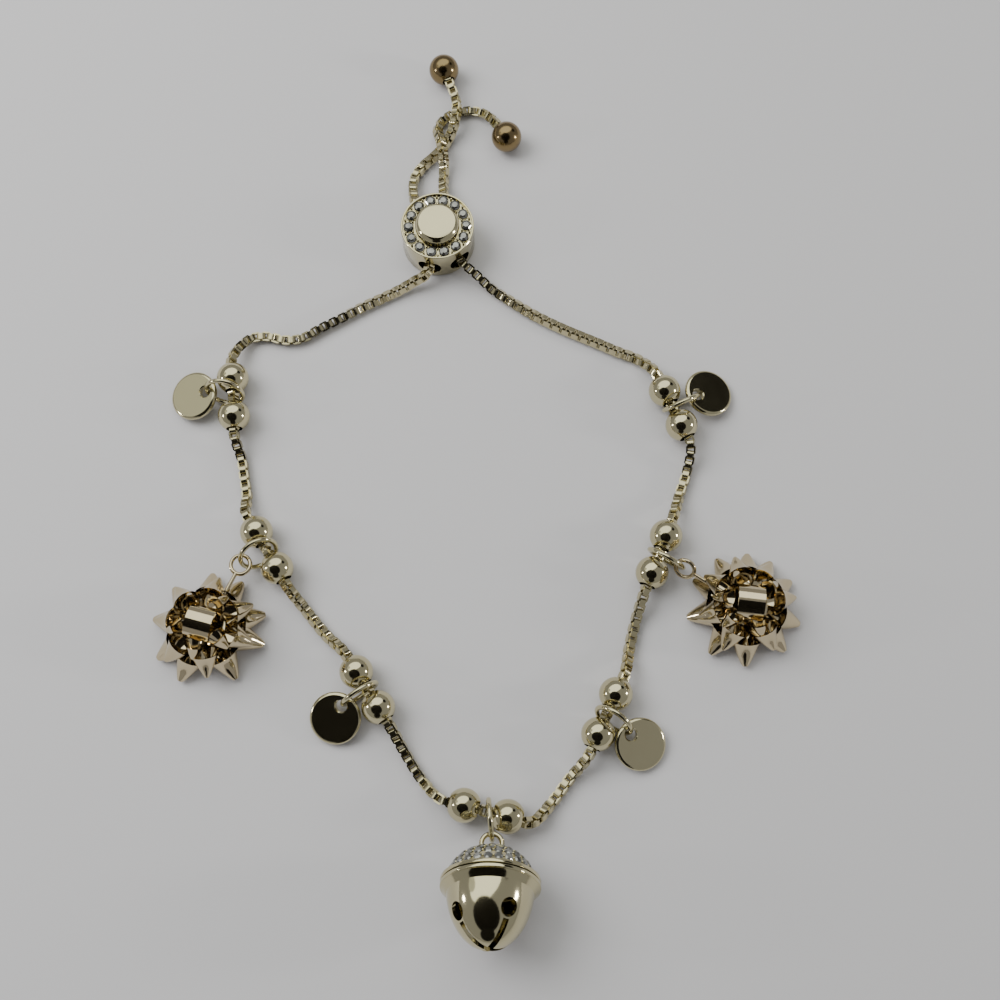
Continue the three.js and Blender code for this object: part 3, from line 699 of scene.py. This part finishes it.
class BRACELET_OT_chain(bpy.types.Operator):
    """Build the box chain, link by link"""

    bl_idname = "bracelet.chain"
    bl_label = "Box Chain"

    def execute(self, context):
        s = context.scene.bracelet_chain
        bm = bmesh.new()
        steps = stepped(smooth_way(chain_points()), s.pitch)
        side = steps[0][1].cross(UP).normalized()
        for i, (point, way) in enumerate(steps):
            side = (side - way * side.dot(way)).normalized()
            roll = s.twist * math.sin(i * s.pitch / ROLL_WAVE) + (math.pi / 2 if i % 2 else 0)
            turned = Matrix.Rotation(roll, 3, way) @ side
            self.link(bm, s, at_frame(point, way, turned))
        made = mesh_object("box_chain_links", bm)
        finish_piece(made, ["box_chain"], chain_gold(), 50)
        return {"FINISHED"}

    def link(self, bm, s, matrix):
        """A flat strip bent into a closed oblong: length along X, the strip's width along Z."""
        x, y, soft = s.link_length / 2, s.link_width / 2, 0.14
        corners = ((x, -y + soft), (x, y - soft), (x - soft, y), (soft - x, y))
        outer = [*corners, *((-a, -b) for a, b in corners)]
        shrink_x, shrink_y = 1 - s.strip_thickness / x, 1 - s.strip_thickness / y
        inner = [(a * shrink_x, b * shrink_y) for a, b in outer]
        z = s.strip_width / 2
        loops = [
            [(a, b, -z) for a, b in outer],
            [(a, b, z) for a, b in outer],
            [(a, b, z) for a, b in inner],
            [(a, b, -z) for a, b in inner],
        ]
        rings = loft(bm, loops, matrix)
        for i in range(8):
            bm.faces.new((rings[3][i], rings[3][(i + 1) % 8], rings[0][(i + 1) % 8], rings[0][i]))


class BRACELET_OT_beads(bpy.types.Operator):
    """Build the drilled beads on both sides of each jump ring"""

    bl_idname = "bracelet.beads"
    bl_label = "Beads"

    def execute(self, context):
        s = context.scene.bracelet_beads
        radius = s.diameter / 2 - SURFACE_PLAY
        mouth = math.degrees(math.acos(s.bore / 2 / radius))
        profile = arc(radius, radius, -mouth, mouth, 16)
        for name in STATIONS:
            _, way, beads, _ = station_beads(name)
            for letter, middle in zip("ab", beads):
                bm = bmesh.new()
                lathe(bm, profile, s.sides, at_axis(middle, way), closed=True)
                node = "bead_" + name + "_" + letter
                finish_piece(mesh_object("round_" + node, bm), [node], polished())
        return {"FINISHED"}


class BRACELET_OT_end_balls(bpy.types.Operator):
    """Build the satin balls at the chain's two ends"""

    bl_idname = "bracelet.end_balls"
    bl_label = "End Balls"

    def execute(self, context):
        s = context.scene.bracelet_beads
        radius = s.diameter / 2 - SURFACE_PLAY
        mouth = math.degrees(math.acos(s.ball_bore / 2 / radius))
        profile = arc(radius, radius, -90, mouth, 18) + [(s.ball_bore / 2, -0.3), (0, -0.3)]
        for name, route in (("left", ROUTE["tail_left"]), ("right", ROUTE["tail_right"][::-1])):
            middle, back, _ = tail(route)
            bm = bmesh.new()
            lathe(bm, profile, s.sides, at_axis(middle, back))
            node = "tail_ball_" + name
            finish_piece(mesh_object("satin_" + node, bm), [node], bronze())
        return {"FINISHED"}


class BRACELET_OT_jump_rings(bpy.types.Operator):
    """Build the jump rings that the charms hang from"""

    bl_idname = "bracelet.jump_rings"
    bl_label = "Jump Rings"

    def execute(self, context):
        s = context.scene.bracelet_rings
        for name in STATIONS:
            centre, out, axis, _, _ = station_ring(name)
            seam_way = (Matrix.Rotation(math.radians(115), 3, axis) @ out).normalized()
            bm = bmesh.new()
            wire_ring(bm, s.outer, s.wire, at_frame(centre, seam_way, axis), 56, 12, s.seam)
            node = "jump_ring_" + name
            finish_piece(mesh_object("wire_" + node, bm), [node], polished(), 50)
        return {"FINISHED"}


class BRACELET_OT_discs(bpy.types.Operator):
    """Build the flat round charms"""

    bl_idname = "bracelet.discs"
    bl_label = "Discs"

    def execute(self, context):
        s = context.scene.bracelet_discs
        radius, half = s.diameter / 2, s.thickness / 2
        edge = arc(s.bevel, 0.32, -70, 70, 16)
        rim = [(radius - s.bevel + r, z + math.copysign(half - 0.3, z)) for r, z in edge]
        profile = [(0, -half), *rim, (0, half)]
        offset = radius - s.web - s.hole / 2
        for name, station in STATIONS.items():
            if station[0] != "disc":
                continue
            centre, out, _, rising, wire = station_ring(name)
            down = level(station[6])
            run = offset + radius + wire * math.cos(math.radians(station[5]))
            slope = math.asin((centre.z - half - FLOOR_GAP) / run)
            hole = centre + out * (wire * math.cos(slope) + s.play) - rising * (wire * math.sin(slope))
            along = down * math.cos(slope) - UP * math.sin(slope)
            normal = down * math.sin(slope) + UP * math.cos(slope)
            bm = bmesh.new()
            lathe(bm, profile, 72, at_frame(hole + along * offset, along, normal))
            made = mesh_object("flat_charm_" + name, bm)
            tool = bmesh.new()
            flare = s.hole / 2 + 0.12
            drill = [(0, -1), (flare, -1), (flare, -half), (s.hole / 2, 0.12 - half)]
            drill += [(r, -z) for r, z in reversed(drill)]
            lathe(tool, drill, 32, at_frame(hole, along, normal))
            cut(made, mesh_object("drill", tool))
            finish_piece(made, ["charm_" + name], disc_gold(), 12)
        return {"FINISHED"}


class BRACELET_OT_bows(bpy.types.Operator):
    """Build the ribbon bow charms, with their loops and wire eyes"""

    bl_idname = "bracelet.bows"
    bl_label = "Bows"

    def execute(self, context):
        s = context.scene.bracelet_bows
        for name, (low, high, inner, loop_turn, eye_tilt) in BOWS.items():
            centre, out, _, _, wire = station_ring(name)
            away = level(STATIONS[name][6])
            eye = centre + out * wire + away * BOW_EYE_SHIFT
            middle = eye + away * (BOW_REACH + s.stand_off)
            middle.z = 0
            bm = bmesh.new()
            for turns, form in zip((low, high, inner), self.forms(s)):
                for turn in turns:
                    self.petal(bm, s, middle, turn, form)
            lathe(bm, [(0, 0.5), (3.0, 0.5), (2.4, 3.3), (0, 3.4)], 24, Matrix.Translation(middle))
            self.top_loop(bm, s, middle, level(loop_turn))
            self.eye(bm, s, eye, away, eye_tilt)
            node = "charm_" + name
            finish_piece(mesh_object("ribbon_" + node, bm), [node], ribbon_gold(), 45)
        return {"FINISHED"}

    def forms(self, s):
        """Each kind of petal: reach, tip height, length, mouth width, tip width and slope."""
        return (
            (s.radius, 0.68, s.low_length, s.low_mouth, s.low_tip, 19),
            (s.high_radius, 2.6, s.high_length, s.high_mouth, s.high_tip, 22),
            (s.inner_radius, 4.3, s.inner_length, s.inner_mouth, s.inner_tip, 35),
        )

    def petal(self, bm, s, middle, turn, form):
        """A ribbon petal: a hollow cone, blunt at its tip, whose wide end opens inward and up."""
        radius, height, length, mouth, tip, slope = form
        out = level(turn)
        slope = math.radians(slope)
        inward = UP * math.sin(slope) - out * math.cos(slope)
        matrix = at_frame(middle + out * radius + UP * height, level(turn - 90), inward)
        panels = [math.radians(a) for a in range(0, 360, 20)]

        def section(share, wall):
            width = tip + (mouth - tip) * share**0.8
            depth = 0.5 + (mouth * 0.84 - 0.5) * share**0.9
            x, y = width / 1.85 - wall, max(depth / 1.85 - wall, 0.02)
            ring = []
            for a in panels:
                left = 1 - s.opening * share**2 * (1 + math.sin(a)) / 2
                ring.append((x * math.cos(a), y * math.sin(a), length * share * left))
            return ring

        shares = (0, 0.1, 0.35, 0.7, 1)
        outer = [section(share, 0) for share in shares]
        inner = [section(share, s.wall) for share in reversed(shares[1:])]
        rings = loft(bm, outer + inner, matrix)
        bm.faces.new(rings[0])
        bm.faces.new(rings[-1])

    def top_loop(self, bm, s, middle, axis):
        """The ribbon loop that stands on top."""
        outer, half = s.loop / 2 - 0.02, s.loop_width / 2
        inner = outer - 0.35
        section = [(inner, -half), (outer, -half), (outer, half), (inner, half)]
        lathe(bm, section, 40, at_axis(middle + UP * (2.6 + s.loop / 2), axis), closed=True)

    def eye(self, bm, s, point, away, tilt):
        """The wire eye and the stem that carries it."""
        side = UP.cross(away)
        axis = UP * math.cos(math.radians(tilt)) - side * math.sin(math.radians(tilt))
        wire_ring(bm, s.eye, s.wire, at_axis(point, axis), 40, 10)
        start = point + away * ((s.eye - s.wire) / 2)
        lathe(bm, [(0, 0), (s.wire / 2, 0), (s.wire / 2, 4.5), (0, 4.5)], 12, at_axis(start, away))


class BRACELET_OT_bell(bpy.types.Operator):
    """Build the bell charm: its slotted cup, its stone-set cap and its eye"""

    bl_idname = "bracelet.bell"
    bl_label = "Bell"

    def execute(self, context):
        s = context.scene.bracelet_bell
        place, cap_place = self.places(s)
        seam, top = s.seam / 2, s.seam / 2 + s.flange_thickness
        cup = bmesh.new()
        shell = arc(s.cup_radius, s.cup_depth, 10, 90, 24)
        inside = arc(s.cup_radius - s.wall, s.cup_depth - s.wall, 90, 2.5, 24)
        flange = self.flange(s, seam, top)
        step = [
            (s.flange - 0.1, top + 0.02),
            (s.cup_radius + 0.2, top + 0.33),
            (s.cup_radius - 0.03, top + 0.7),
        ]
        profile = [*inside[:-1], (inside[-1][0], seam), *flange, *step, *shell]
        lathe(cup, profile, 72, place)
        cup = mesh_object("slotted_bell_cup", cup)
        for turn in SLOT_TURNS:
            cut(cup, self.slot_cutter(s, place, turn))
        for turn in HOLE_TURNS:
            cut(cup, self.hole_cutter(s, place, turn))
        finish_piece(cup, ["bell_cup"], polished(), 35)
        cap = bmesh.new()
        shell = arc(s.cap_radius, s.cap_height, 6, 90, 24)
        inside = arc(s.cap_radius - s.wall, s.cap_height - s.wall, 90, 3, 24)
        lathe(cap, [*inside[:-1], (inside[-1][0], seam), *flange, *shell], 72, cap_place)
        reach = s.cap_height + s.eye / 2 - s.wire
        upright = Matrix.Translation((0, 0, reach)) @ Matrix.Rotation(math.pi / 2, 4, "X")
        wire_ring(cap, s.eye, s.wire, cap_place @ upright, 40, 10)
        stones = bmesh.new()
        for row in CAP_ROWS:
            self.stone_row(cap, stones, s, cap_place, row)
        finish_piece(mesh_object("domed_bell_cap", cap), ["bell_cap"], polished(), 35)
        finish_piece(mesh_object("bell_cap_stones", stones), [], crystal(), 5)
        return {"FINISHED"}

    def places(self, s):
        """Matrices with Z along the cup's pole and along the cap's, at the middle of the seam."""
        centre, out, _, rising, wire = station_ring("bell")
        away = level(STATIONS["bell"][6])
        tilt = math.radians(BELL_TILT)
        axis = away * math.cos(tilt) + UP * math.sin(tilt)
        thickness = s.flange_thickness + s.seam / 2
        height = BELL_REACH * math.cos(tilt) + thickness * math.sin(tilt) + FLOOR_GAP
        reach = s.cap_height + s.eye / 2 - s.wire
        eye_height = height - reach * math.sin(tilt)
        drop = math.asin((centre.z - eye_height) / wire)
        eye = centre + out * (wire * math.cos(drop)) - rising * (wire * math.sin(drop))
        eye += away * BELL_EYE_SHIFT
        eye.z = eye_height
        middle = eye + axis * reach
        x_way = level(STATIONS["bell"][6] + 90)
        return at_frame(middle, x_way, axis), at_frame(middle, x_way, -axis)

    def flange(self, s, low, high):
        """The rounded edge of a flange, from its seam side outward and back."""
        bevel = 0.12
        edge = arc(bevel, bevel, -90, 90, 6)
        half = (high - low) / 2 - bevel
        return [(s.flange - bevel + r, (low + high) / 2 + z + math.copysign(half, z)) for r, z in edge]

    def slot_cutter(self, s, place, turn):
        """A block that cuts one slot across the cup's pole."""
        floor = s.cup_depth * math.cos(math.radians(45)) - s.wall
        length = 2 * s.cup_radius * math.sin(math.radians(45))
        tool = bmesh.new()
        shape = Matrix.Diagonal((length, s.slot, s.cup_depth, 1))
        turned = Matrix.Rotation(math.radians(turn), 4, "Z")
        turned = turned @ Matrix.Translation((0, 0, floor + s.cup_depth / 2))
        bmesh.ops.create_cube(tool, size=1, matrix=place @ turned @ shape)
        return mesh_object("slot_cutter", tool)

    def hole_cutter(self, s, place, turn):
        """A rod that drills the hole at one end of a slot."""
        tool = bmesh.new()
        lean = Matrix.Rotation(math.radians(turn), 4, "Z") @ Matrix.Rotation(math.radians(45), 4, "Y")
        drill = [(0, 2), (s.slot_hole / 2, 2), (s.slot_hole / 2, 8), (0, 8)]
        lathe(tool, drill, 32, place @ lean)
        return mesh_object("hole_cutter", tool)

    def stone_row(self, cap, stones, s, place, row):
        """One row of stones round the cap, with a small metal grain between each two."""
        flat = s.cap_radius * math.sin(math.radians(row))
        count = int(2 * math.pi * flat / (s.stone + 0.12))
        for i in range(count):
            for half, target in ((0, stones), (0.5, cap)):
                turn = 2 * math.pi * (i + half) / count + row
                way = Vector((math.cos(turn) * math.sin(math.radians(row)),
                              math.sin(turn) * math.sin(math.radians(row)), math.cos(math.radians(row))))
                foot = Vector((way.x * s.cap_radius, way.y * s.cap_radius, way.z * s.cap_height))
                if half:
                    ball(target, 0.13, place @ (foot + way * 0.03), 8)
                else:
                    r = s.stone / 2
                    cutting = [(0, -0.25), (r, -0.05), (r, 0.03), (r * 0.6, 0.17), (0, 0.17)]
                    spun = Matrix.Rotation(i * 0.7, 4, "Z") @ Matrix.Rotation(0.06, 4, "X")
                    lathe(target, cutting, 8, place @ at_axis(foot, way) @ spun)


class BRACELET_OT_slider(bpy.types.Operator):
    """Build the slider with its button, channels and ring of stones"""

    bl_idname = "bracelet.slider"
    bl_label = "Slider"

    def execute(self, context):
        s = context.scene.bracelet_slider
        middle = Vector((SLIDER[0], SLIDER[1], 0))
        radius, button = s.diameter / 2, s.button / 2
        rim, top = s.deck + s.rim, s.deck + s.rise
        profile = [
            (0, FLOOR_GAP), (radius - 0.2, FLOOR_GAP), (radius - 0.06, FLOOR_GAP + 0.06),
            (radius, FLOOR_GAP + 0.2), (radius, rim - 0.06), (radius - 0.06, rim),
            (radius - s.rim + 0.05, rim), (radius - s.rim, rim - 0.05),
            (radius - s.rim, s.deck - 0.12), (button, s.deck - 0.12), (button, s.deck + 0.74),
            (button - 0.06, s.deck + 0.83), (s.face / 2 + 0.12, top - 0.06), (s.face / 2, top), (0, top),
        ]
        bm = bmesh.new()
        lathe(bm, profile, 96, Matrix.Translation(middle))
        body = mesh_object("drum_slider", bm)
        way = level(SLIDER[2])
        for side in (-1, 1):
            tool = bmesh.new()
            point = middle + UP * s.channel_height + level(SLIDER[2] - 90) * (side * s.spacing / 2)
            r = s.channel / 2
            lathe(tool, [(0, -9), (r, -9), (r, 9), (0, 9)], 40, at_axis(point, way))
            cut(body, mesh_object("channel_cutter", tool))
        grains = bmesh.new()
        for i in range(s.stones):
            turn = 79 + 360 * i / s.stones
            self.stone(s, middle + level(turn) * (s.circle / 2), i + 1)
            between = level(turn + 180 / s.stones)
            for reach in (s.circle / 2 - 0.46, s.circle / 2 + 0.5):
                ball(grains, 0.16, middle + between * reach + UP * (s.deck + 0.06), 10)
            seat = middle + level(turn) * (s.circle / 2) + UP * (s.deck - 0.12)
            r = s.stone / 2 + 0.01
            lathe(grains, [(r, 0), (r + 0.05, 0), (r + 0.04, 0.13), (r, 0.13)], 28,
                  Matrix.Translation(seat), closed=True)
        finish_piece(body, ["slider_body"], polished(), 35)
        finish_piece(mesh_object("slider_settings", grains), [], polished(), 50)
        return {"FINISHED"}

    def stone(self, s, point, number):
        """A round cut stone: table, crown in two steps, girdle and pavilion."""
        bm = bmesh.new()
        r = s.stone / 2 - 0.01
        cutting = [(0, -0.45), (r, 0), (r, 0.04), (r * 0.84, 0.15), (r * 0.52, 0.24), (0, 0.24)]
        spun = Matrix.Rotation(number * 0.9, 4, "Z") @ Matrix.Rotation(0.05, 4, "X")
        lathe(bm, cutting, 8, Matrix.Translation(point + UP * (s.deck + 0.1)) @ spun)
        node = "slider_stone_" + str(number).zfill(2)
        finish_piece(mesh_object("cut_" + node, bm), [node], crystal(), 5)


class BRACELET_OT_stage(bpy.types.Operator):
    """Lay out the surface, the lights and the camera"""

    bl_idname = "bracelet.stage"
    bl_label = "Stage"

    def execute(self, context):
        look = context.scene.bracelet_look
        bm = bmesh.new()
        bmesh.ops.create_grid(bm, x_segments=1, y_segments=1, size=FLOOR_REACH)
        floor = mesh_object("floor", bm)
        floor.data.materials.append(plain("Surface", look.floor))
        world = bpy.data.worlds.new("Studio")
        world.use_nodes = True
        sky = world.node_tree.nodes["Background"]
        sky.inputs["Color"].default_value = (*SKY_COLOUR, 1)
        sky.inputs["Strength"].default_value = SKY_STRENGTH
        context.scene.world = world
        for name, row in LIGHTS.items():
            self.light(name, *row)
        for name, row in CARDS.items():
            self.card(name, *row)
        self.camera(context)
        return {"FINISHED"}

    def light(self, name, place, width, depth, watts, colour, mirrored):
        """An oval soft light at a place on the layout plane, aimed at the bracelet."""
        data = bpy.data.lights.new(name, "AREA")
        data.shape = "DISK" if width == depth else "ELLIPSE"
        data.size = width * MM
        data.size_y = depth * MM
        data.energy = watts
        data.color = colour
        made = bpy.data.objects.new(name, data)
        bpy.context.scene.collection.objects.link(made)
        spot = ROW @ Vector(place)
        made.location = spot
        made.rotation_euler = (-spot).to_track_quat("-Z", "Y").to_euler()
        made.visible_glossy = mirrored

    def card(self, name, place, half_width, half_height, glow):
        """An oval card that shows only in reflections, dark or with a glow."""
        bm = bmesh.new()
        bmesh.ops.create_circle(bm, cap_ends=True, segments=32, radius=1)
        aim = at_axis(Vector(place), -Vector(place).normalized())
        shape = Matrix.Diagonal((half_width, half_height, 1, 1))
        bmesh.ops.transform(bm, matrix=aim @ shape, verts=bm.verts)
        made = mesh_object(name, bm)
        made.data.materials.append(plain("Card " + name, CARD_COLOUR, glow))
        made.visible_camera = False
        made.visible_shadow = False
        made.visible_diffuse = False

    def camera(self, context):
        """A camera above the front, which looks down at the middle of the layout plane."""
        data = bpy.data.cameras.new("camera")
        data.lens = CAMERA_LENS
        data.sensor_width = 36
        data.clip_start = 0.01
        data.clip_end = 10
        made = bpy.data.objects.new("camera", data)
        context.scene.collection.objects.link(made)
        tilt = math.radians(CAMERA_ELEVATION)
        made.location = ROW @ (Vector((0, -math.cos(tilt), math.sin(tilt))) * CAMERA_DISTANCE)
        made.rotation_euler = (math.pi / 2 - tilt, 0, 0)
        context.scene.camera = made


class BRACELET_PT_panel(bpy.types.Panel):
    """The steps of the bracelet, in the order that they run."""

    bl_label = "Charm Bracelet"
    bl_idname = "BRACELET_PT_panel"
    bl_space_type = "VIEW_3D"
    bl_region_type = "UI"
    bl_category = "Bracelet"

    def draw(self, context):
        for step in STEPS:
            self.layout.operator(step.bl_idname)


STEPS = (
    BRACELET_OT_chain,
    BRACELET_OT_beads,
    BRACELET_OT_end_balls,
    BRACELET_OT_jump_rings,
    BRACELET_OT_discs,
    BRACELET_OT_bows,
    BRACELET_OT_bell,
    BRACELET_OT_slider,
    BRACELET_OT_stage,
)
SETTINGS = {
    "bracelet_chain": ChainSettings,
    "bracelet_beads": BeadSettings,
    "bracelet_rings": RingSettings,
    "bracelet_discs": DiscSettings,
    "bracelet_bows": BowSettings,
    "bracelet_bell": BellSettings,
    "bracelet_slider": SliderSettings,
    "bracelet_look": LookSettings,
}


def register():
    for name, group in SETTINGS.items():
        bpy.utils.register_class(group)
        setattr(bpy.types.Scene, name, PointerProperty(type=group))
    for item in (*STEPS, BRACELET_PT_panel):
        bpy.utils.register_class(item)


def unregister():
    for item in reversed((*STEPS, BRACELET_PT_panel)):
        bpy.utils.unregister_class(item)
    for name, group in SETTINGS.items():
        delattr(bpy.types.Scene, name)
        bpy.utils.unregister_class(group)


def main():
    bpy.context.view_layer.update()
    register()
    bpy.ops.bracelet.chain()
    bpy.ops.bracelet.beads()
    bpy.ops.bracelet.end_balls()
    bpy.ops.bracelet.jump_rings()
    bpy.ops.bracelet.discs()
    bpy.ops.bracelet.bows()
    bpy.ops.bracelet.bell()
    bpy.ops.bracelet.slider()
    bpy.ops.bracelet.stage()


if __name__ == "__main__":
    main()
